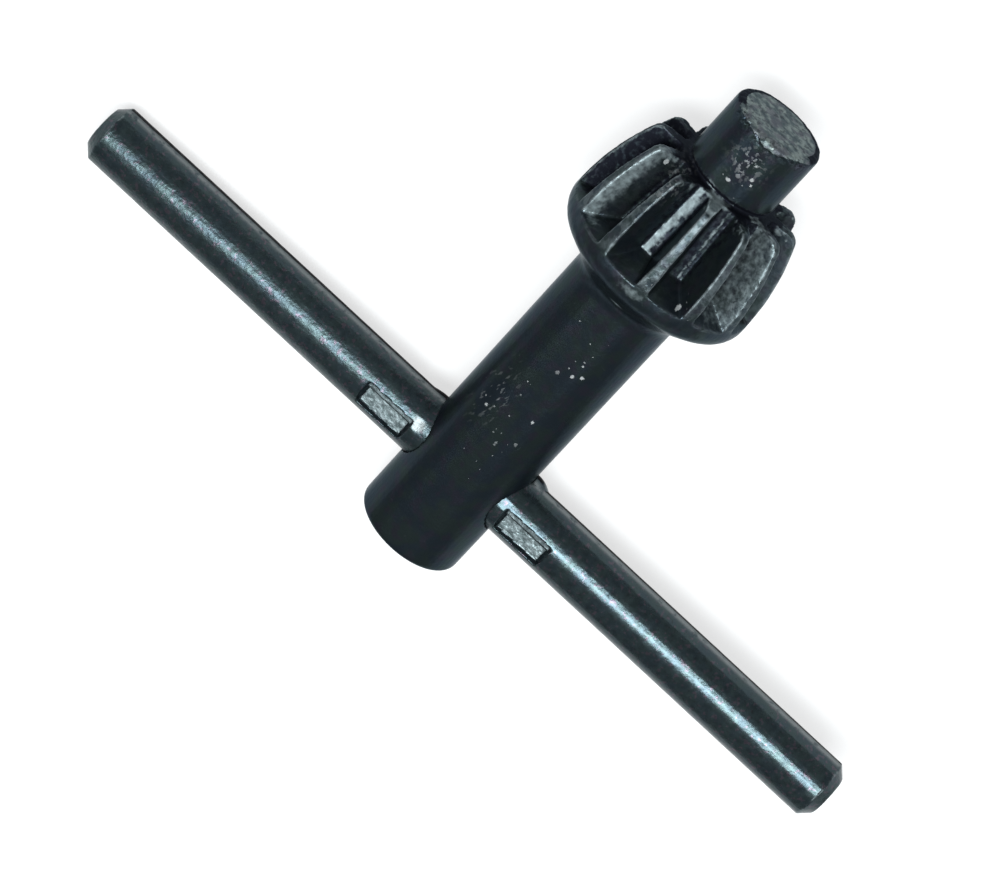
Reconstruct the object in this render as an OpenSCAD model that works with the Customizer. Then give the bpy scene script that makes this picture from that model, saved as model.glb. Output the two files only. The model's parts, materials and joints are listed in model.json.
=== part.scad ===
// Drill chuck key: a hardened key body with a bevel pinion and a pilot, and a
// straight cross bar that is staked fast in the tail of the body.
// All lengths are in millimetres. Each piece is drawn about the body's own axis:
// that axis is X with the pilot at +X, and the cross bar runs along Y through the
// middle of the cross hole. The key is then laid on the floor as it comes to rest,
// on the rim of the pinion, the lower edge of the tail and one end of the bar.

/* [Cross bar] */
// Diameter of the cross bar
bar_d = 4; // [3.6:0.1:4.3]
// Length of the cross bar over its ends
bar_len = 58.2; // [50:0.2:66]
// Distance from the middle of the cross hole to the middle of the bar
bar_shift = 0.25; // [0:0.05:0.6]
// Chamfer at each end of the bar, measured along it and across it
bar_chamfer = 0.65; // [0.3:0.05:0.9]

/* [Stake marks] */
// Length of the floor of each punched pocket
stake_len = 3.1; // [2.4:0.1:3.8]
// Gap between the shank and the floor of a pocket, with the bar in the middle
stake_gap = 0.45; // [0.4:0.05:1]
// Width of the floor of a pocket
stake_w = 1.15; // [0.9:0.05:1.3]
// How far the middle of the floor lies towards the tail
stake_side = 0.42; // [0.2:0.02:0.5]
// Depth of the floor below the top of the bar
stake_depth = 0.65; // [0.5:0.05:0.8]
// How far the ends and the tail side of a pocket lean outward
stake_lean = 0.25; // [0.1:0.05:0.35]
// Width of the shallow shelf beside the floor
shelf_w = 0.42; // [0.3:0.02:0.6]
// Depth of the shelf below the top of the bar
shelf_depth = 0.35; // [0.2:0.01:0.4]
// How far the two ears of the bar's -Y half stand out from it at the shank
ear_out = 0.36; // [0.2:0.02:0.5]
// How far the two lower ears of its +Y half stand out
low_ear_out = 0.14; // [0.1:0.02:0.3]
// Radius of the rounded ridge of an ear
ear_round = 1.3; // [1:0.05:1.5]
// Length over which an ear dies out along the bar
ear_len = 1.2; // [0.8:0.1:1.6]
// How far the outline of an ear bows outward, as a share of how far it stands out
ear_bow = 0.3; // [0.1:0.05:0.4]
// Angle of the ears below the middle plane of the bar
ear_angle = 28; // [15:1:40]

/* [Shank] */
// Diameter of the shank
shank_d = 7; // [6.4:0.1:8]
// Distance from the middle of the cross hole to the end of the tail
tail_len = 5.9; // [5:0.1:7]
// Radius of the rounded edge of the tail
tail_round = 0.35; // [0.2:0.05:0.8]
// Clearance between the bar and its hole, on the radius
bar_clear = 0.03; // [0.01:0.01:0.08]

/* [Pinion] */
// Distance from the middle of the cross hole to the foot of the flared back
head_start = 15; // [13:0.1:18]
// Radius of the fillet between the shank and the flared back
flare_fillet = 1.3; // [0.8:0.1:1.8]
// Angle of the flared back from the axis of the shank
flare_angle = 56; // [50:1:62]
// Diameter of the rim, the widest part
rim_d = 12.7; // [12.2:0.1:13.4]
// Radius of the rounded back edge of the rim
rim_round = 1.3; // [0.8:0.05:1.5]
// Distance from the widest part of the rim to the front of the teeth
pinion_len = 6.3; // [5.5:0.1:7]
// Diameter over the teeth at their front corners
front_d = 10.6; // [9.8:0.1:11]
// How far the crest of a tooth bows outward from a straight cone
crest_bow = 0.28; // [0.1:0.02:0.4]
// Radius of the rounded front corner of a tooth
corner_round = 0.7; // [0.4:0.05:0.9]

/* [Teeth] */
// Number of teeth
teeth = 12; // [10:1:13]
// Turn of the first tooth from the top
tooth_turn = 5; // [-15:1:15]
// Step from the pilot up to the floor of a tooth space at the front of the pinion
root_step = 0.4; // [0.3:0.05:0.6]
// Rise of the floor of a tooth space from front to back
root_angle = 9; // [4:1:14]
// Width of the floor of a tooth space
root_w = 0.9; // [0.6:0.05:1.1]
// Angle of each side of a tooth space from its middle plane
flank_angle = 23.5; // [16:0.5:25]
// How far the side of a tooth bulges from a straight flank
flank_bow = 0.06; // [0.02:0.01:0.12]
// Length of the floor of a tooth space
root_len = 5; // [4:0.1:5.4]
// Lean of the closed back end of a tooth space
end_angle = 33; // [20:1:36]

/* [Pilot] */
// Diameter of the pilot, which turns in a 6 mm hole of the chuck
pilot_d = 5.9; // [5.6:0.05:6]
// Length of the pilot in front of the teeth
pilot_len = 4.6; // [3.5:0.1:6]
// Radius of the rounded end of the pilot
pilot_round = 0.35; // [0.2:0.05:0.6]
// Radius of the rounded relief groove at the root of the pilot
groove_round = 0.15; // [0.05:0.05:0.25]

/* [Hidden] */
$fn = 96;

bar_r = bar_d / 2;
bore_r = bar_r + bar_clear;
shank_r = shank_d / 2;
rim_r = rim_d / 2;
front_r = front_d / 2;
pilot_r = pilot_d / 2;
root_front_r = pilot_r + root_step;

// The flared back is a straight line between the fillet and the rounded rim
flare_foot = [shank_r + flare_fillet * (1 - cos(flare_angle)),
              head_start + flare_fillet * sin(flare_angle)];
flare_top_r = rim_r - rim_round * (1 - cos(flare_angle));
rim_x = flare_foot[1] + (flare_top_r - flare_foot[0]) / tan(flare_angle)
    + rim_round * sin(flare_angle);
front_x = rim_x + pinion_len;
tip_x = front_x + pilot_len;
// Slope of the crest where it runs into the rounded front corner
crest_end = atan2(rim_r - front_r + 4 * crest_bow, pinion_len);

// Steps in each drawn arc of an outline
arc_steps = 10;
// A cutting solid runs past the surface that it opens by this much
past = 0.5;
// An ear starts this far inside the skin of the shank and is trimmed to it
ear_root = 0.7;
// An ear ends this far inside the skin of the bar
ear_sink = 0.05;

// Centres of the two rounded edges of the body that can touch the floor
rim_centre = [rim_x, rim_r - rim_round];
tail_centre = [tail_round - tail_len, shank_r - tail_round];
contact_span = rim_centre - tail_centre;
// Pitch of the body when its rim and the edge of its tail both touch the floor
rest_pitch = atan2(contact_span[1], contact_span[0])
    + asin((rim_round - tail_round) / norm(contact_span));
// Height of the middle of the cross hole above the floor
rest_height = tail_round + tail_centre[1] * cos(rest_pitch)
    - tail_centre[0] * sin(rest_pitch);
// The key rolls until the longer half of the bar touches the floor at its end
bar_reach = [bar_len / 2 + bar_shift - bar_chamfer, bar_r];
bar_slope = asin(rest_height / norm(bar_reach)) - atan2(bar_reach[1], bar_reach[0]);
rest_roll = -asin(sin(bar_slope) / cos(rest_pitch));

// The origin on the floor is under the middle of the space that the key takes up
rest_back = (tail_centre[0] * cos(rest_pitch)) - tail_centre[1] * sin(rest_pitch) - tail_round;
rest_front = (tip_x - pilot_round) * cos(rest_pitch)
    + (pilot_r - pilot_round) * sin(rest_pitch) + pilot_round;
rest_move = [-(rest_back + rest_front) / 2, -bar_shift * cos(rest_roll), rest_height];

// Steel colours: oxide black on the body, and a slightly paler black on the bar
body_black = "#2f353a";
bar_black = "#3b4347";

// Points of an arc about a centre, from one angle to another
function arc(centre, r, from, to) =
    [for (i = [0:arc_steps]) let (t = from + (to - from) * i / arc_steps)
        centre + r * [cos(t), sin(t)]];

// Points of a shallow bow from p to q that rises to the left by the given amount
function bow(p, q, rise) =
    [for (i = [0:arc_steps]) let (t = i / arc_steps, left = [p[1] - q[1], q[0] - p[0]])
        p + (q - p) * t + left / norm(left) * 4 * rise * t * (1 - t)];

// Outline of the body, as radius and distance along the axis
rim_point = [rim_r, rim_x];
corner_centre = [front_r - corner_round, front_x - corner_round];
crest_point = corner_centre + corner_round * [cos(crest_end), sin(crest_end)];
body_outline = concat(
    [[0, -tail_len]],
    arc([tail_centre[1], tail_centre[0]], tail_round, -90, 0),
    arc([shank_r + flare_fillet, head_start], flare_fillet, 180, 180 - flare_angle),
    arc([rim_centre[1], rim_centre[0]], rim_round, -flare_angle, 0),
    bow(rim_point, crest_point, -crest_bow),
    arc(corner_centre, corner_round, crest_end, 90),
    arc([pilot_r, front_x + groove_round], groove_round, -90, -270),
    arc([pilot_r - pilot_round, tip_x - pilot_round], pilot_round, 0, 90),
    [[0, tip_x]]);

// Outline of a tooth space, across and outward from its floor
space_h = rim_r - root_front_r + past;
flank_top = [root_w / 2 + space_h * tan(flank_angle), space_h];
space_outline = concat(
    bow([root_w / 2, 0], flank_top, flank_bow),
    bow([-flank_top[0], flank_top[1]], [-root_w / 2, 0], flank_bow));

// Lays the finished key on the floor in its rest pose
module at_rest() {
    translate(rest_move) rotate([0, -rest_pitch, 0]) rotate([rest_roll, 0, 0]) children();
}

// One tooth space: a straight cut along the rising floor, closed at the back by a
// leaning wall so that the rim behind the teeth stays whole
module tooth_space() {
    cut_len = 2 * root_len + past;
    translate([front_x, 0, root_front_r]) rotate([0, root_angle, 0]) difference() {
        translate([-2 * root_len, 0, 0]) rotate([90, 0, 90])
            linear_extrude(cut_len) polygon(space_outline);
        translate([-root_len, 0, 0]) rotate([0, -end_angle, 0])
            translate([-cut_len, -rim_r, -rim_r]) cube([cut_len, rim_d, 3 * rim_r]);
    }
}

// The key body: tail, shank, bevel pinion and pilot in one piece, with the cross hole
module key_body() {
    color(body_black) at_rest() difference() {
        rotate([0, 90, 0]) rotate_extrude() polygon(body_outline);
        for (i = [0:teeth - 1])
            rotate([tooth_turn + (i + 0.5) * 360 / teeth, 0, 0]) tooth_space();
        rotate([90, 0, 0]) cylinder(h = shank_d + 2 * past, r = bore_r, center = true);
    }
}

// One punched pocket, open at the top of the bar, with its floor starting at Y = 0
module stake_pocket() {
    floor_z = bar_r - stake_depth;
    shelf_z = bar_r - shelf_depth;
    rise = stake_depth + past;
    lean = stake_lean * rise / stake_depth;
    tail_x = -stake_side - stake_w / 2;
    tip_x = stake_w / 2 - stake_side;
    intersection() {
        translate([0, stake_len + lean, 0]) rotate([90, 0, 0])
            linear_extrude(stake_len + 2 * lean)
                polygon([[tail_x, floor_z], [tip_x, floor_z], [tip_x, shelf_z],
                         [tip_x + shelf_w, shelf_z], [tip_x + shelf_w, floor_z + rise],
                         [tail_x - lean, floor_z + rise]]);
        translate([-bar_r, 0, 0]) rotate([90, 0, 90]) linear_extrude(bar_d)
            polygon([[0, floor_z], [stake_len, floor_z],
                     [stake_len + lean, floor_z + rise], [-lean, floor_z + rise]]);
    }
}

// Two rounded ears on the bar where it leaves the shank at +Y, standing out as far as given
module ears(out) {
    difference() {
        for (side = [0, 1]) mirror([side, 0, 0]) rotate([0, ear_angle, 0])
            translate([bar_r + out - ear_round, shank_r, 0]) rotate([-90, 0, 0])
                rotate_extrude() polygon(concat(
                    [[0, -ear_root], [ear_round, -ear_root]],
                    bow([ear_round, 0], [ear_round - out - ear_sink, ear_len], -ear_bow * out),
                    [[0, ear_len]]));
        rotate([0, 90, 0])
            cylinder(h = shank_d + 2 * past, r = shank_r + bar_clear, center = true);
    }
}

// The cross bar, with chamfered ends, pockets above and below, and its ears
module cross_bar() {
    half = bar_len / 2;
    end_r = bar_r - bar_chamfer;
    pocket_start = shank_r + stake_gap;
    color(bar_black) at_rest() difference() {
        union() {
            translate([0, bar_shift, 0]) rotate([-90, 0, 0]) rotate_extrude()
                polygon([[0, -half], [end_r, -half], [bar_r, bar_chamfer - half],
                         [bar_r, half - bar_chamfer], [end_r, half], [0, half]]);
            ears(low_ear_out);
            mirror([0, 1, 0]) ears(ear_out);
        }
        translate([0, bar_shift, 0]) for (side = [0, 1], face = [0, 1])
            mirror([0, side, 0]) mirror([0, 0, face])
                translate([0, pocket_start, 0]) stake_pocket();
    }
}

key_body();
cross_bar();
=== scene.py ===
"""The looks of a drill chuck key: oxide-black steel that has worn along its teeth."""

import json

import bmesh
import bpy
import numpy as np
from mathutils import Matrix, Vector, noise


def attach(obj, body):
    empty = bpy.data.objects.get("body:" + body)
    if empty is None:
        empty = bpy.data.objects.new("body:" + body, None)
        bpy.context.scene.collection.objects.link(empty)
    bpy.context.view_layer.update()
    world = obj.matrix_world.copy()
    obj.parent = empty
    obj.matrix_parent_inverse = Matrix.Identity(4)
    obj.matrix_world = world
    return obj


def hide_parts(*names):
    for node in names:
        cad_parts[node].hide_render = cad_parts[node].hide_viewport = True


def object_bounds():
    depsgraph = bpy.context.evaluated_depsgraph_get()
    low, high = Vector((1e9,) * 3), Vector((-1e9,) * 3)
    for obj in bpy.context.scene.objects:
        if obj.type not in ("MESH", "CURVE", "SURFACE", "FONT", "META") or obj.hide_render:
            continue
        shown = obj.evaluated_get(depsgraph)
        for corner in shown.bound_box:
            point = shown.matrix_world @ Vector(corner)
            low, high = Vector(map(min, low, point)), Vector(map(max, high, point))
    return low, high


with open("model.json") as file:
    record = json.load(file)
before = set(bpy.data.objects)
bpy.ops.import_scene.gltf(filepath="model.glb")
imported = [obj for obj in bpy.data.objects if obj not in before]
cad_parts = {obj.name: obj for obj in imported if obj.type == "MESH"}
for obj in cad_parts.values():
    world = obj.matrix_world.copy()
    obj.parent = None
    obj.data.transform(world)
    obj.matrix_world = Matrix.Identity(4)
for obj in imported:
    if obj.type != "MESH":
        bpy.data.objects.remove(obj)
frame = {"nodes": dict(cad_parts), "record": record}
cad_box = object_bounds()

MM = 0.001
# Rough skins stay this far inside the box of the CAD shapes
LEEWAY = 0.004 * MM

# The key's own frame, in millimetres: X along the shank towards the pilot, Y along
# the bar, Z up, with its origin in the middle of the cross hole
PILOT_REACH = 26.88
BAR_END = 0.5

# Sizes of the key that its wear and its finishes follow
BAR_R = 2.0
BAR_SHIFT = 0.25
PILOT_R = 2.95
HEAD_X = 14.5
RIM_X = 18.3
FRONT_X = 24.6
TIP_X = 29.2
# A stake pocket, from the middle of the bar: where its floor starts and ends along
# the bar, the heights of its floor and its shelf, and where its shelf starts across it
POCKET_FROM = 3.95
POCKET_TO = 7.05
FLOOR_Z = 1.35
SHELF_Z = 1.65
SHELF_FROM = 0.16

# The camera, in the key's own frame
CAMERA_AT = Vector((115.92, 0.26, 216.91))
CAMERA_RIGHT = Vector((0.60161, -0.73536, -0.31196))
CAMERA_DOWN = Vector((-0.65096, -0.67768, 0.34206))
SENSOR = 36.0
LENS = 4.16783 * SENSOR


def bar_direction():
    """Unit vector along the bar, from the middles of its two end faces."""
    points = [v.co for v in frame["nodes"]["cross_bar"].data.vertices]
    low = min(p.y for p in points)
    high = max(p.y for p in points)
    near_low = [p for p in points if p.y - low < BAR_END * MM]
    near_high = [p for p in points if high - p.y < BAR_END * MM]
    middle_low = sum(near_low, Vector()) / len(near_low)
    middle_high = sum(near_high, Vector()) / len(near_high)
    return (middle_high - middle_low).normalized()


def key_frame():
    """Matrix from the key's own frame, in millimetres, to the floor's, in metres."""
    pilot = next(m for m in frame["record"]["mounts"] if m["name"] == "pilot")
    along = Vector(pilot["axis"]).normalized()
    up = along.cross(bar_direction()).normalized()
    across = up.cross(along)
    middle = Vector(pilot["pos_m"]) - along * PILOT_REACH * MM
    turn = Matrix((along, across, up)).transposed().to_4x4()
    return Matrix.Translation(middle) @ turn @ Matrix.Scale(MM, 4)


KEY = key_frame()
KEY_TURN = KEY.to_3x3().normalized()


def place(point):
    """A point of the key's own frame, on the floor's frame."""
    return KEY @ Vector(point)


def link(thing):
    bpy.context.scene.collection.objects.link(thing)
    return thing


def add_camera():
    data = bpy.data.cameras.new("camera")
    data.sensor_fit = "HORIZONTAL"
    data.sensor_width = SENSOR
    data.lens = LENS
    data.clip_start = 0.01
    data.clip_end = 10.0
    camera = link(bpy.data.objects.new("camera", data))
    right = CAMERA_RIGHT.normalized()
    back = right.cross(-CAMERA_DOWN).normalized()
    up = back.cross(right)
    turn = KEY_TURN @ Matrix((right, up, back)).transposed()
    camera.matrix_world = Matrix.Translation(place(CAMERA_AT)) @ turn.to_4x4()
    bpy.context.scene.camera = camera


def add_softbox(name, at, size, strength, colour, long_way):
    """A soft area light at a point of the key's frame, aimed at the key's middle, with
    its long side lying as near as it can to the direction given."""
    data = bpy.data.lights.new(name, "AREA")
    data.shape = "RECTANGLE"
    data.size, data.size_y = size[0] * MM, size[1] * MM
    data.energy = strength
    data.color = colour
    light = link(bpy.data.objects.new(name, data))
    back = (place(at) - place((0, 0, 0))).normalized()
    long_side = KEY_TURN @ Vector(long_way)
    long_side = (long_side - back * long_side.dot(back)).normalized()
    turn = Matrix((long_side.cross(back), long_side, back)).transposed()
    light.matrix_world = Matrix.Translation(place(at)) @ turn.to_4x4()


def add_lights():
    cool = (0.93, 0.98, 1.0)
    along, across = (1, 0, 0), (0, 1, 0)
    add_softbox("key_light", (70, -30, 300), (84, 190), 1.34, cool, (-0.5, 1, 0))
    add_softbox("high_left_light", (-40, 140, 262), (60, 125), 0.1, cool, (-0.7, 1, 0))
    add_softbox("high_right_light", (-50, -170, 240), (80, 80), 0.06, cool, across)
    add_softbox("left_light", (30, 300, 110), (160, 90), 0.09, cool, along)
    add_softbox("right_light", (30, -300, 110), (160, 90), 0.17, cool, along)
    world = bpy.data.worlds.new("studio")
    bpy.context.scene.world = world
    world.use_nodes = True
    shade = world.node_tree.nodes["Background"]
    shade.inputs["Color"].default_value = (0.5, 0.53, 0.55, 1.0)
    shade.inputs["Strength"].default_value = 0.44


def add_floor():
    """A pale floor that shows near white to the camera and in the steel."""
    shape = bmesh.new()
    bmesh.ops.create_grid(shape, x_segments=1, y_segments=1, size=1.5)
    mesh = bpy.data.meshes.new("floor")
    shape.to_mesh(mesh)
    shape.free()
    floor = link(bpy.data.objects.new("floor", mesh))
    material = bpy.data.materials.new("pale_floor")
    material.use_nodes = True
    nodes, links = material.node_tree.nodes, material.node_tree.links
    shader = nodes["Principled BSDF"]
    shader.inputs["Base Color"].default_value = (0.34, 0.34, 0.34, 1)
    shader.inputs["Roughness"].default_value = 0.9
    shader.inputs["Specular IOR Level"].default_value = 0.0
    shader.inputs["Emission Color"].default_value = (1, 1, 1, 1)
    path = nodes.new("ShaderNodeLightPath")
    seen = path.outputs["Is Camera Ray"]
    for kind in ("Is Glossy Ray", "Is Transmission Ray"):
        either = nodes.new("ShaderNodeMath")
        either.operation = "MAXIMUM"
        links.new(seen, either.inputs[0])
        links.new(path.outputs[kind], either.inputs[1])
        seen = either.outputs[0]
    level = nodes.new("ShaderNodeMath")
    level.operation = "MULTIPLY"
    level.inputs[1].default_value = 0.68
    links.new(seen, level.inputs[0])
    links.new(level.outputs[0], shader.inputs["Emission Strength"])
    mesh.materials.append(material)


class Skin:
    """A piece's points, normals and neighbours, in the key's own frame."""

    def __init__(self, mesh):
        self.mesh = mesh
        count = len(mesh.vertices)
        flat = np.empty(count * 3)
        mesh.vertices.foreach_get("co", flat)
        back = np.array(KEY.inverted())
        self.points = flat.reshape(-1, 3) @ back[:3, :3].T + back[:3, 3]
        mesh.vertices.foreach_get("normal", flat)
        self.normals = flat.reshape(-1, 3) @ np.array(KEY_TURN)
        ends = np.empty(len(mesh.edges) * 2, int)
        mesh.edges.foreach_get("vertices", ends)
        ends = ends.reshape(-1, 2)
        self.near = np.concatenate((ends[:, 0], ends[:, 1]))
        self.far = np.concatenate((ends[:, 1], ends[:, 0]))
        self.links = np.bincount(self.near, minlength=count)

    def average(self, values):
        """Each point's mean over its neighbours."""
        total = np.bincount(self.near, weights=values[self.far], minlength=len(self.links))
        return total / self.links

    def ridges(self, passes):
        """How far each point stands out of its neighbours, in millimetres."""
        mean = np.stack([self.average(c) for c in self.points.T], 1)
        proud = np.einsum("ij,ij->i", self.points - mean, self.normals)
        for _ in range(passes):
            proud = 0.5 * proud + 0.5 * self.average(proud)
        return proud

    def grain(self, size, octaves=2, shift=0.0, stretch=(1, 1, 1)):
        """Soft noise at every point, about -1 to 1, with lumps of the size given."""
        spots = self.points / (size * np.array(stretch)) + shift
        return np.array([noise.fractal(p, 1.0, 2.0, octaves) for p in spots])

    def patch(self, middle, reach):
        """1 at a place given along and across the key, and fading to 0 beyond its reach."""
        x, y, z = self.points.T
        far = ((x - middle[0]) / reach[0]) ** 2 + ((y - middle[1]) / reach[1]) ** 2
        return np.exp(-far) * (z > 0)

    def push(self, depth):
        """Moves the points out along their normals by the depths given."""
        self.points += self.normals * depth[:, None]

    def paint(self, name, values):
        layer = self.mesh.attributes.new(name, "FLOAT", "POINT")
        layer.data.foreach_set("value", values.astype(np.float32))

    def write(self):
        """Puts the points back on the mesh, inside the box of the CAD shapes."""
        to_floor = np.array(KEY)
        spots = self.points @ to_floor[:3, :3].T + to_floor[:3, 3]
        spots = np.clip(spots, np.array(cad_box[0]) + LEEWAY, np.array(cad_box[1]) - LEEWAY)
        self.mesh.vertices.foreach_set("co", spots.astype(np.float32).ravel())
        self.mesh.update()


def ramp(values, low, high):
    """0 below low and 1 above high, with a smooth rise between."""
    share = np.clip((values - low) / (high - low), 0, 1)
    return share * share * (3 - 2 * share)


def merged_copy(node, name):
    """A new object with a copy of a CAD node's mesh, its loose triangles merged."""
    shape = bmesh.new()
    shape.from_mesh(frame["nodes"][node].data)
    bmesh.ops.remove_doubles(shape, verts=shape.verts, dist=0.002 * MM)
    mesh = bpy.data.meshes.new(name)
    shape.to_mesh(mesh)
    shape.free()
    return link(bpy.data.objects.new(name, mesh))


def apply_modifiers(piece):
    """Gives the piece the mesh that its modifiers make, and takes them off."""
    seen = piece.evaluated_get(bpy.context.evaluated_depsgraph_get())
    made = bpy.data.meshes.new_from_object(seen)
    piece.modifiers.clear()
    piece.data = made


def even_skin(piece, voxel, passes):
    """Gives the piece an even, fine skin with softly rounded edges."""
    skin = piece.modifiers.new("skin", "REMESH")
    skin.mode = "VOXEL"
    skin.voxel_size = voxel * MM
    soft = piece.modifiers.new("soft", "SMOOTH")
    soft.factor = 0.5
    soft.iterations = passes
    apply_modifiers(piece)


def thin_out(piece, triangles):
    """Takes points out where the skin is plain, down to the count of triangles."""
    count = sum(len(face.vertices) - 2 for face in piece.data.polygons)
    fewer = piece.modifiers.new("fewer", "DECIMATE")
    fewer.ratio = min(1.0, triangles / count)
    apply_modifiers(piece)
    for face in piece.data.polygons:
        face.use_smooth = True


class Finish:
    """A procedural finish whose nodes read the key's own frame, in millimetres."""

    def __init__(self, name, edge_tint):
        self.material = bpy.data.materials.new(name)
        self.material.use_nodes = True
        self.tree = self.material.node_tree
        self.shader = self.tree.nodes["Principled BSDF"]
        self.shader.inputs["Specular Tint"].default_value = (*edge_tint, 1)
        self.shader.inputs["Specular IOR Level"].default_value = 0.1
        where = self.add("TexCoord")
        turn = self.add("Mapping", vector_type="TEXTURE")
        turn.inputs["Location"].default_value = KEY.to_translation()
        turn.inputs["Rotation"].default_value = KEY_TURN.to_euler()
        turn.inputs["Scale"].default_value = (MM, MM, MM)
        self.link(where.outputs["Object"], turn.inputs["Vector"])
        self.spot = turn.outputs["Vector"]

    def add(self, kind, **settings):
        node = self.tree.nodes.new("ShaderNode" + kind)
        for name, value in settings.items():
            setattr(node, name, value)
        return node

    def link(self, start, end):
        self.tree.links.new(start, end)

    def stretched(self, stretch, turn=0.0, shift=0.0):
        """The spot, turned about Z by degrees, with each axis divided by its factor."""
        place_it = self.add("Mapping")
        self.link(self.spot, place_it.inputs["Vector"])
        place_it.inputs["Location"].default_value = (shift, shift, shift)
        place_it.inputs["Rotation"].default_value = (0, 0, np.radians(turn))
        divide = self.add("VectorMath", operation="DIVIDE")
        self.link(place_it.outputs["Vector"], divide.inputs[0])
        divide.inputs[1].default_value = stretch
        return divide.outputs["Vector"]

    def grain(self, size, detail=3.0, stretch=(1, 1, 1), turn=0.0, shift=0.0):
        """Soft noise with lumps of the size given, about 0.3 to 0.7."""
        cloud = self.add("TexNoise")
        cloud.inputs["Scale"].default_value = 1 / size
        cloud.inputs["Detail"].default_value = detail
        self.link(self.stretched(stretch, turn, shift), cloud.inputs["Vector"])
        return cloud.outputs["Fac"]

    def dots(self, size, radius, share, shift=0.0):
        """Ragged dots seen from above, in a share of the cells of the size given."""
        ragged = self.add("TexNoise")
        ragged.inputs["Scale"].default_value = 1 / radius
        self.link(self.spot, ragged.inputs["Vector"])
        sway = self.add("VectorMath", operation="MULTIPLY_ADD")
        self.link(ragged.outputs["Color"], sway.inputs[0])
        sway.inputs[1].default_value = (1.6 * radius, 1.6 * radius, 0)
        self.link(self.stretched((1, 1, FLAT), 0.0, shift), sway.inputs[2])
        cells = self.add("TexVoronoi")
        cells.inputs["Scale"].default_value = 1 / size
        self.link(sway.outputs["Vector"], cells.inputs["Vector"])
        pick = self.add("SeparateColor")
        self.link(cells.outputs["Color"], pick.inputs["Color"])
        reach = self.span(pick.outputs["Green"], 0.4 * radius / size, 1.3 * radius / size)
        inside = self.ramp(self.math("SUBTRACT", reach, cells.outputs["Distance"]),
                           0.0, 0.4 * radius / size)
        chosen = self.math("GREATER_THAN", share, pick.outputs["Red"])
        return self.times(self.times(inside, chosen), self.span(pick.outputs["Blue"], 0.35, 1))

    def fleck(self, at, reach):
        """One ragged fleck seen from above, at a place given along and across the key."""
        ragged = self.add("TexNoise")
        ragged.inputs["Scale"].default_value = 8
        self.link(self.spot, ragged.inputs["Vector"])
        sway = self.add("VectorMath", operation="MULTIPLY_ADD")
        self.link(ragged.outputs["Color"], sway.inputs[0])
        sway.inputs[1].default_value = (0.12, 0.12, 0)
        self.link(self.stretched((1, 1, FLAT)), sway.inputs[2])
        scaled = self.add("VectorMath", operation="DIVIDE")
        self.link(sway.outputs["Vector"], scaled.inputs[0])
        scaled.inputs[1].default_value = (*reach, 1)
        far = self.add("VectorMath", operation="DISTANCE")
        self.link(scaled.outputs["Vector"], far.inputs[0])
        far.inputs[1].default_value = ((at[0] + 0.06) / reach[0], (at[1] + 0.06) / reach[1], 0)
        return self.math("SUBTRACT", 1.0, self.ramp(far.outputs["Value"], 0.6, 1.0))

    def ramp(self, value, low, high):
        """0 at low and 1 at high, with a smooth rise between."""
        rise = self.add("MapRange", interpolation_type="SMOOTHSTEP")
        self.link(value, rise.inputs["Value"])
        rise.inputs["From Min"].default_value = low
        rise.inputs["From Max"].default_value = high
        return rise.outputs["Result"]

    def span(self, value, low, high):
        """The value's 0 to 1 taken to low to high."""
        rise = self.add("MapRange")
        self.link(value, rise.inputs["Value"])
        rise.inputs["To Min"].default_value = low
        rise.inputs["To Max"].default_value = high
        return rise.outputs["Result"]

    def math(self, kind, first, second):
        sums = self.add("Math", operation=kind)
        for value, socket in zip((first, second), sums.inputs):
            if isinstance(value, (int, float)):
                socket.default_value = value
            else:
                self.link(value, socket)
        return sums.outputs[0]

    def times(self, first, second):
        return self.math("MULTIPLY", first, second)

    def plus(self, first, second):
        return self.math("ADD", first, second)

    def painted(self, name):
        """What was painted on the mesh under this name."""
        layer = self.add("Attribute", attribute_name=name)
        return layer.outputs["Fac"]

    def mix(self, share, first, second):
        """From the first colour to the second, by the share."""
        blend = self.add("Mix", data_type="RGBA")
        sockets = [s for s in blend.inputs if s.type == "RGBA"]
        self.link(share, blend.inputs[0])
        for value, socket in zip((first, second), sockets):
            if isinstance(value, tuple):
                socket.default_value = (*value, 1)
            else:
                self.link(value, socket)
        return next(s for s in blend.outputs if s.type == "RGBA")

    def bump(self, height, depth, under=None):
        """Bumps of the depth given, in millimetres, over those underneath."""
        relief = self.add("Bump")
        relief.inputs["Distance"].default_value = depth * MM
        self.link(height, relief.inputs["Height"])
        if under:
            self.link(under, relief.inputs["Normal"])
        return relief.outputs["Normal"]

    def wear(self, colour, roughness, metal, normal):
        self.link(colour, self.shader.inputs["Base Color"])
        self.link(roughness, self.shader.inputs["Roughness"])
        self.link(metal, self.shader.inputs["Metallic"])
        self.link(normal, self.shader.inputs["Normal"])
        return self.material


# A pattern that is seen from above is stretched this far from top to bottom
FLAT = 1000.0

# Colours of the steel
BLUE_BLACK = (0.02, 0.028, 0.036)
GREEN_BLACK = (0.023, 0.033, 0.033)
PLUM_BLACK = (0.028, 0.026, 0.038)
RUBBED = (0.085, 0.102, 0.108)
WORN = (0.18, 0.21, 0.22)
# Pale steel: painted highlights on the head, and the bare steel of the bar's pocket floors
PALE_STEEL = (0.25, 0.3, 0.31)
# Painted shade: the near black laid into recesses, on the head's far side and under the bar
SHADE_COLOUR = (0.009, 0.01, 0.015)
DUST = (0.3, 0.31, 0.31)

# The largest flecks on the body: where each lies, its reach and its strength
FLECKS = (((6.6, -1.1), (0.14, 0.11), 0.9), ((10.5, -1.0), (0.16, 0.12), 0.9),
          ((24.0, 3.3), (0.22, 0.15), 0.8), ((19.0, -2.7), (0.17, 0.15), 0.9),
          ((25.8, 0.1), (0.12, 0.2), 0.9), ((26.7, -0.9), (0.16, 0.14), 0.9))


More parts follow.
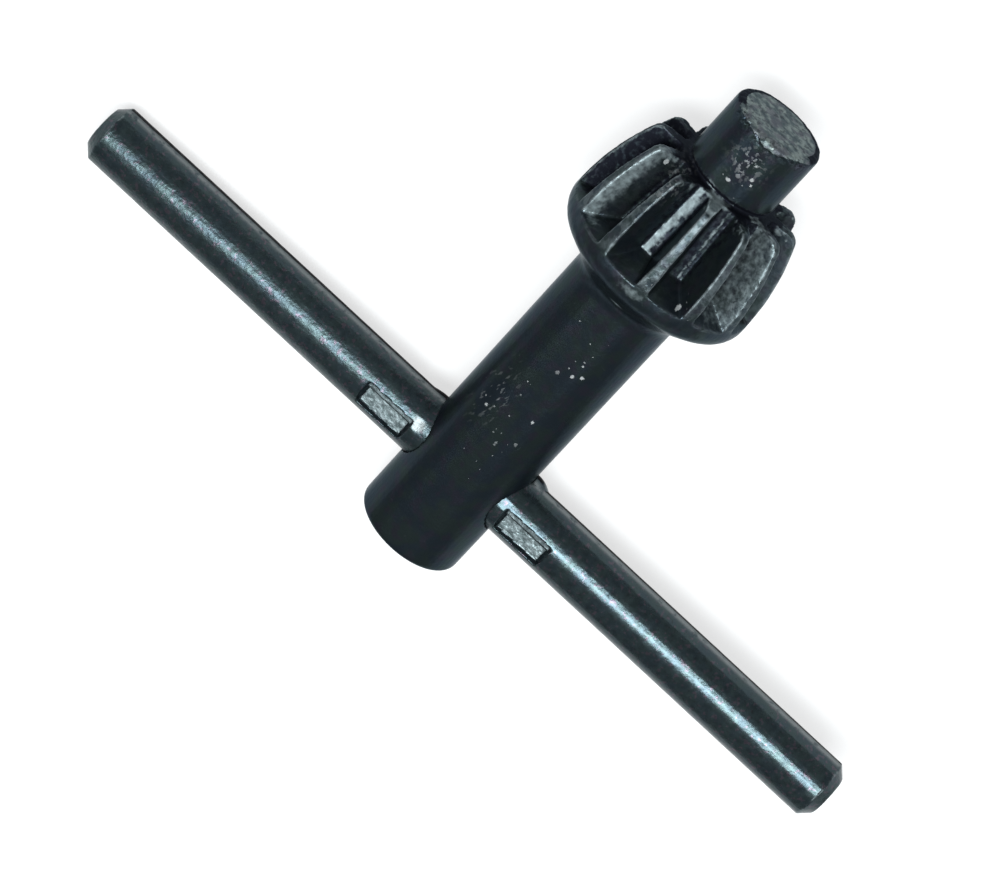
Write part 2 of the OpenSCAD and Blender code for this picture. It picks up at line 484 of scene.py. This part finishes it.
def oxide_black(finish, lighter, clouds):
    """Oxide black with clouds of green and plum in it, made lighter by the factor."""
    blue, green, plum = (tuple(lighter * c for c in colour)
                         for colour in (BLUE_BLACK, GREEN_BLACK, PLUM_BLACK))
    colour = finish.mix(finish.ramp(finish.grain(1.3, 3.0), 0.4, 0.6), blue, green)
    cloud = finish.ramp(finish.grain(0.8, 3.0, shift=11.0), 0.5, 0.64)
    return finish.mix(finish.times(cloud, clouds), colour, plum)


def pilot_end(finish):
    """The rough and mottled face of the pilot: its share of the skin, and its colour."""
    share = finish.ramp(finish.plus(finish.painted("rough_end"), finish.grain(0.3, 3.0)),
                        0.9, 1.1)
    colour = finish.mix(finish.ramp(finish.grain(0.5, 4.0), 0.38, 0.64),
                        (0.07, 0.09, 0.096), (0.195, 0.23, 0.222))
    plum = finish.times(finish.ramp(finish.grain(0.8, 2.0, shift=5.0), 0.48, 0.6), 0.6)
    colour = finish.mix(plum, colour, (0.1, 0.098, 0.118))
    pits = finish.times(finish.ramp(finish.grain(0.34, 3.0, shift=8.0), 0.54, 0.62), 0.65)
    return share, finish.mix(pits, colour, (0.035, 0.042, 0.046))


def body_finish():
    """Oxide black with rubbed teeth, worn edges, scuffs, specks of dust, painted highlights on
    some flanks and floors, and painted shade in the corners and on the far side.
    """
    finish = Finish("oxide_black_body", (0.5, 0.55, 0.58))
    colour = oxide_black(finish, 1.0, 0.6)
    blotch = finish.ramp(finish.grain(0.45, 4.0), 0.36, 0.62)
    rubbed_and_sheen = finish.times(finish.painted("rubbed_and_sheen"), finish.span(blotch, 0.15, 1))
    colour = finish.mix(rubbed_and_sheen, colour, RUBBED)
    worn = finish.times(finish.painted("edge_wear"), finish.span(blotch, 0.25, 1))
    colour = finish.mix(worn, colour, WORN)
    # Painted shade in recesses, at the pilot end's far edge and on the far side of the head,
    # broken up by noise
    painted_shade = finish.plus(finish.painted("painted_shade"), finish.grain(0.3, 3.0, shift=9.0))
    painted_shade = finish.ramp(painted_shade, 0.8, 1.15)
    colour = finish.mix(painted_shade, colour, SHADE_COLOUR)
    # Scuffs, with painted highlights where flanks and floors would catch the light
    scuff_highlight = finish.plus(finish.painted("scuffs_and_highlights"),
                         finish.times(finish.grain(0.3, 4.0, shift=2.0), 0.9))
    scuff_highlight = finish.times(finish.ramp(scuff_highlight, 0.6, 1.3), finish.span(blotch, 0.7, 1))
    colour = finish.mix(scuff_highlight, colour, PALE_STEEL)
    end, end_colour = pilot_end(finish)
    colour = finish.mix(end, colour, end_colour)
    scratch = finish.grain(0.2, 2.0, (3.2, 1, FLAT), 14)
    strokes = finish.times(finish.painted("scratched"), finish.ramp(scratch, 0.58, 0.66))
    specks = finish.times(finish.painted("speckled"),
                          finish.ramp(finish.grain(0.26, 3.0, shift=6.0), 0.52, 0.62))
    dots = finish.dots(0.6, 0.13, finish.painted("dust"))
    fine = finish.dots(0.3, 0.06, finish.times(finish.painted("dust"), 0.7), 3.0)
    marks = finish.math("MAXIMUM", finish.times(specks, 0.5), finish.times(strokes, 0.35))
    dust = finish.math("MAXIMUM", finish.math("MAXIMUM", dots, fine), marks)
    for at, reach, share in FLECKS:
        dust = finish.math("MAXIMUM", dust, finish.times(finish.fleck(at, reach), share))
    colour = finish.mix(dust, colour, DUST)
    roughness = finish.span(finish.grain(0.9, 3.0), 0.24, 0.36)
    roughness = finish.plus(roughness, finish.times(finish.painted("rubbed_and_sheen"), 0.12))
    roughness = finish.plus(roughness, finish.times(worn, 0.25))
    roughness = finish.plus(roughness, finish.times(end, 0.2))
    roughness = finish.plus(roughness, finish.times(finish.plus(dust, painted_shade), 0.3))
    relief = finish.bump(finish.grain(0.5, 4.0), 0.014)
    relief = finish.bump(finish.grain(0.16, 3.0), 0.006, relief)
    relief = finish.bump(finish.times(end, finish.grain(0.3, 4.0)), 0.06, relief)
    relief = finish.bump(finish.times(rubbed_and_sheen, finish.grain(0.35, 4.0, shift=1.0)), 0.05, relief)
    relief = finish.bump(dust, 0.02, relief)
    metal = finish.math("SUBTRACT", 0.78, finish.times(dust, 0.78))
    metal = finish.math("SUBTRACT", metal, finish.times(scuff_highlight, 0.3))
    return finish.wear(colour, roughness, metal, relief)


def bar_finish():
    """Pitted oxide black, with rough bare steel on the floors of the stake pockets, painted
    shade on the pocket walls and underside, and painted highlights along the side and on a
    peened spot.
    """
    finish = Finish("oxide_black_bar", (0.85, 0.87, 0.87))
    colour = finish.mix(finish.ramp(finish.grain(0.9, 3.0), 0.35, 0.65),
                        (0.035, 0.05, 0.058), (0.038, 0.055, 0.057))
    fleck = finish.times(finish.ramp(finish.grain(0.3, 3.0, shift=4.0), 0.56, 0.66), 0.7)
    colour = finish.mix(fleck, colour, (0.085, 0.066, 0.085))
    pitting = finish.grain(0.2, 3.0)
    colour = finish.mix(finish.ramp(pitting, 0.56, 0.78), colour, (0.03, 0.037, 0.04))
    lumps = finish.grain(0.45, 3.0)
    worn = finish.times(finish.painted("edge_wear"), finish.ramp(lumps, 0.35, 0.6))
    colour = finish.mix(worn, colour, WORN)
    punched = finish.painted("punched")
    dent = finish.grain(0.34, 4.0)
    punched_colour = finish.mix(finish.ramp(dent, 0.38, 0.6), (0.13, 0.165, 0.17), PALE_STEEL)
    colour = finish.mix(punched, colour, punched_colour)
    # Painted highlight: a pale line along the side of the bar
    rubbed_and_sheen = finish.times(finish.painted("rubbed_and_sheen"), finish.ramp(lumps, 0.3, 0.5))
    colour = finish.mix(rubbed_and_sheen, colour, (0.17, 0.185, 0.19))
    # Painted shade on the pocket walls and the underside, with a darker edge reflection there
    # too
    colour = finish.mix(finish.painted("painted_shade"), colour, SHADE_COLOUR)
    tint = finish.mix(finish.painted("painted_shade"), (0.85, 0.87, 0.87), (0.1, 0.1, 0.1))
    finish.link(tint, finish.shader.inputs["Specular Tint"])
    # The peened spot is flattened in the mesh; its pale colour is a painted highlight
    peened_highlight = finish.painted("peened_highlight")
    colour = finish.mix(peened_highlight, colour, (0.14, 0.155, 0.157))
    dull = finish.painted("dull")
    roughness = finish.span(finish.grain(0.5, 3.0), 0.14, 0.34)
    roughness = finish.plus(roughness, finish.times(dull, 0.07))
    roughness = finish.plus(roughness, finish.times(punched, 0.22))
    roughness = finish.plus(roughness, finish.times(peened_highlight, 0.08))
    relief = finish.bump(finish.times(lumps, finish.span(dull, 0.45, 1)), 0.03)
    relief = finish.bump(finish.times(pitting, finish.span(dull, 0.5, 1)), 0.012, relief)
    relief = finish.bump(finish.times(punched, dent), 0.09, relief)
    metal = finish.span(finish.grain(0.4, 3.0, shift=3.0), 0.58, 1)
    return finish.wear(colour, roughness, metal, relief)


def shape_body():
    """The key body, with worn teeth, a rough pilot end and the marks of its making."""
    piece = merged_copy("key_body", "body_steel")
    even_skin(piece, 0.085, 2)
    skin = Skin(piece.data)
    x, y, z = skin.points.T
    radius = np.hypot(y, z)
    side = np.degrees(np.arctan2(-y, z))
    ridge = ramp(skin.ridges(2), 0.0015, 0.009)
    head = ramp(x, HEAD_X, HEAD_X + 1.5) * (1 - ramp(x, FRONT_X + 0.3, FRONT_X + 0.6))

    skin.push(0.014 * head * skin.grain(0.9, 3))
    nick = ramp(skin.grain(0.8, 3, 7.0), 0.3, 0.8)
    skin.push(-0.05 * head * ridge * nick)
    end = ramp(x, TIP_X - 0.3, TIP_X - 0.05)
    skin.push(0.03 * end * skin.grain(0.45, 3, 3.0))
    near = ramp(side, -75, -45) * (1 - ramp(side, 55, 80))
    rim = ramp(radius, PILOT_R - 0.75, PILOT_R - 0.1)
    chip = ramp(skin.grain(0.55, 3, 5.0), -0.15, 0.5)
    skin.push(-0.2 * ramp(x, TIP_X - 0.75, TIP_X - 0.1) * rim * near * chip)

    paint_teeth(skin, head, ridge)
    spill = 0.55 * np.exp(-((side - 8) / 22) ** 2)
    skin.paint("rough_end", ramp(x, TIP_X - 0.35 - spill, TIP_X - 0.05)
               * (1 - ramp(radius, 2.4, 2.5) * (1 - near)))
    skin.paint("scratched", skin.patch((6.2, 1.6), (1.7, 0.9)))
    skin.paint("speckled", np.maximum(skin.patch((27.3, -0.1), (0.85, 0.95)),
                                      0.7 * skin.patch((23.7, 2.2), (0.8, 0.7))))
    skin.paint("dust", body_dust(skin))
    skin.write()
    thin_out(piece, 190000)
    piece.data.materials.clear()
    piece.data.materials.append(body_finish())
    return piece


def paint_teeth(skin, head, ridge):
    """Where the head is rubbed and worn, where it bears scuffs and painted highlights, and
    where painted shade lies, tooth by tooth. A tooth or a space is found by its side:
    degrees from the top, towards -Y."""
    x, y, z = skin.points.T
    radius = np.hypot(y, z)
    side = np.degrees(np.arctan2(-y, z))
    outward = (skin.normals[:, 1] * y + skin.normals[:, 2] * z) / np.maximum(radius, 0.1)
    teeth = head * ramp(x, RIM_X + 0.2, RIM_X + 0.8)
    crest = ramp(radius, 4.9, 5.4) * ramp(outward, 0.7, 0.95)
    flank = 1 - ramp(np.abs(outward), 0.6, 0.8)
    hidden = 1 - ramp(side, -74, -64)
    outer_flank = flank * (1 - hidden) * ramp(np.abs(side), 26, 42)
    rubbed_and_sheen = teeth * np.maximum(0.75 * crest, 0.3 * outer_flank)
    skin.paint("rubbed_and_sheen", np.maximum(rubbed_and_sheen, 0.1 * head))
    skin.paint("edge_wear", teeth * ridge * ramp(outward, 0.2, 0.5))

    # Scuffs and painted highlights: the lit floor of the top space, lit flanks fading towards
    # their roots, a streak, the rim, the flare and the pilot's groove
    floor = ramp(outward, 0.88, 0.95) * (1 - ramp(radius, 4.7, 5.1))
    bites = ramp(skin.grain(0.6, 3, 4.0), 0.0, 0.3) * ramp(side, -11, -8)
    top_floor = 0.72 * floor * np.exp(-((side + 12) / 7) ** 2) * (1 - 0.8 * bites)
    below = 6.3 - 0.19 * (x - RIM_X) - radius
    left_flank = flank * ramp(side, -58, -54) * (1 - ramp(side, -44, -38))
    left_flank *= 0.6 * (1 - ramp(below, 0.3, 1.0))
    right_flank = 0.42 * flank * ramp(side, 44, 50) * (1 - ramp(side, 63, 67))
    rim = np.exp(-((side - 1) / 7) ** 2 - ((x - RIM_X) / 0.28) ** 2)
    flare = 0.8 * skin.patch((16.15, 0.0), (0.13, 0.5))
    groove = np.exp(-((side - 4) / 14) ** 2 - ((x - FRONT_X + 0.05) / 0.14) ** 2)
    streak = 0.65 * floor * np.exp(-((side - 22) / 1.2) ** 2)
    front = np.exp(-((x - FRONT_X + 0.3) / 0.35) ** 2) * ramp(radius, 3.4, 3.9)
    front *= (1 - ramp(radius, 4.7, 5.1)) * ramp(skin.grain(0.5, 3, 9.0), -0.05, 0.3)
    front *= 0.6 * (1 - 0.6 * hidden)
    places = np.maximum.reduce((top_floor, left_flank, right_flank, streak, front))
    skin.paint("scuffs_and_highlights", np.maximum.reduce((teeth * places, 0.7 * rim, flare, groove)))

    # Painted shade: at the roots by the front face, deep in the spaces, on the crest just right
    # of the top, at the pilot end's far edge and over the teeth on the far side
    root = np.exp(-((x - FRONT_X - 0.1) / 0.35) ** 2) * (1 - ramp(radius, 3.6, 4.4))
    deep = 0.5 * teeth * (1 - ramp(radius, 3.9, 5.2)) * ramp(side, -75, -45)
    right_of_top = 0.55 * teeth * crest * ramp(side, 5, 8) * (1 - ramp(side, 12, 16))
    ring = ramp(x, TIP_X - 0.3, TIP_X - 0.1) * ramp(radius, 2.4, 2.5)
    ring *= 1 - ramp(side, -75, -45) * (1 - ramp(side, 55, 80))
    shaded = 0.62 * teeth * hidden * (1 - 0.7 * ridge)
    skin.paint("painted_shade", np.maximum.reduce((root, deep, right_of_top, ring, shaded)))


def body_dust(skin):
    """Where dust lies: on the top of the shank, in the teeth and near the pilot's end."""
    places = (((4.2, -0.1), (2.4, 1.0), 0.5), ((7.4, 0.8), (2.6, 1.2), 0.35),
              ((10.6, -0.7), (1.6, 1.1), 0.35), ((12.6, -1.0), (1.0, 1.2), 0.35),
              ((19.2, -2.7), (0.9, 0.9), 0.6), ((23.8, 2.8), (0.8, 0.8), 0.5),
              ((26.2, -0.6), (0.8, 1.3), 0.75))
    return np.max([share * skin.patch(middle, reach) for middle, reach, share in places], 0)


def shape_bar():
    """The cross bar, with a pitted skin and rough punched pockets."""
    piece = merged_copy("cross_bar", "bar_steel")
    even_skin(piece, 0.07, 1)
    skin = Skin(piece.data)
    x, y, z = skin.points.T
    ridge = ramp(skin.ridges(1), 0.0015, 0.008)
    along = np.abs(y - BAR_SHIFT)
    height = np.abs(z)
    level = np.abs(skin.normals[:, 2])
    in_pocket = ramp(along, POCKET_FROM - 0.4, POCKET_FROM - 0.2)
    in_pocket *= 1 - ramp(along, POCKET_TO + 0.2, POCKET_TO + 0.4)
    sunk = in_pocket * ramp(BAR_R - np.hypot(x, z), 0.05, 0.1)
    floor = sunk * ramp(level, 0.75, 0.9) * (1 - ramp(height, FLOOR_Z + 0.06, FLOOR_Z + 0.14))
    shelf = sunk * ramp(level, 0.75, 0.9) * np.exp(-((height - SHELF_Z) / 0.07) ** 2)
    shelf *= ramp(x, SHELF_FROM + 0.03, SHELF_FROM + 0.1)
    flat = np.maximum(floor, shelf)

    skin.push(0.03 * floor * skin.grain(0.4, 3))
    skin.push(0.005 * (1 - sunk) * skin.grain(0.7, 3, 2.0))
    lit = Vector((0.33, 0.0, 0.944))
    peen = np.exp(-((along - 3.45) / 0.36) ** 2) * (z > 0)
    depth = 0.018 + 0.052 * ramp(y, 0, 1)
    over = np.maximum(0, skin.points @ np.array(lit) - (BAR_R - depth))
    skin.points -= (peen * over)[:, None] * np.array(lit)

    skin.paint("edge_wear", ridge * ramp(along, 27, 28.2))
    skin.paint("punched", flat)
    turn = np.degrees(np.arctan2(x, z))
    round_side = 1 - ramp(np.abs(skin.normals[:, 1]), 0.15, 0.45)
    # Painted shade on the underside and on the walls of the pockets
    under = round_side * ramp(turn, 96, 101) * (1 - ramp(turn, 150, 178)) * (along > 3.2)
    skin.paint("painted_shade", np.maximum(0.5 * sunk * (1 - flat), under))
    # A painted highlight line along the bar's side
    skin.paint("rubbed_and_sheen", 0.75 * round_side * np.exp(-((turn - 88) / 6) ** 2))
    # A painted highlight on the left peened spot
    skin.paint("peened_highlight", ramp(peen * over, 0.0, 0.035) * (y > 0))
    skin.paint("dull", ramp(y, -4, 4))
    skin.write()
    thin_out(piece, 180000)
    piece.data.materials.clear()
    piece.data.materials.append(bar_finish())
    return piece


bpy.context.scene.view_settings.view_transform = "Standard"
add_camera()
add_lights()
add_floor()
for node, piece in (("key_body", shape_body()), ("cross_bar", shape_bar())):
    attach(piece, "root")
    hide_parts(node)
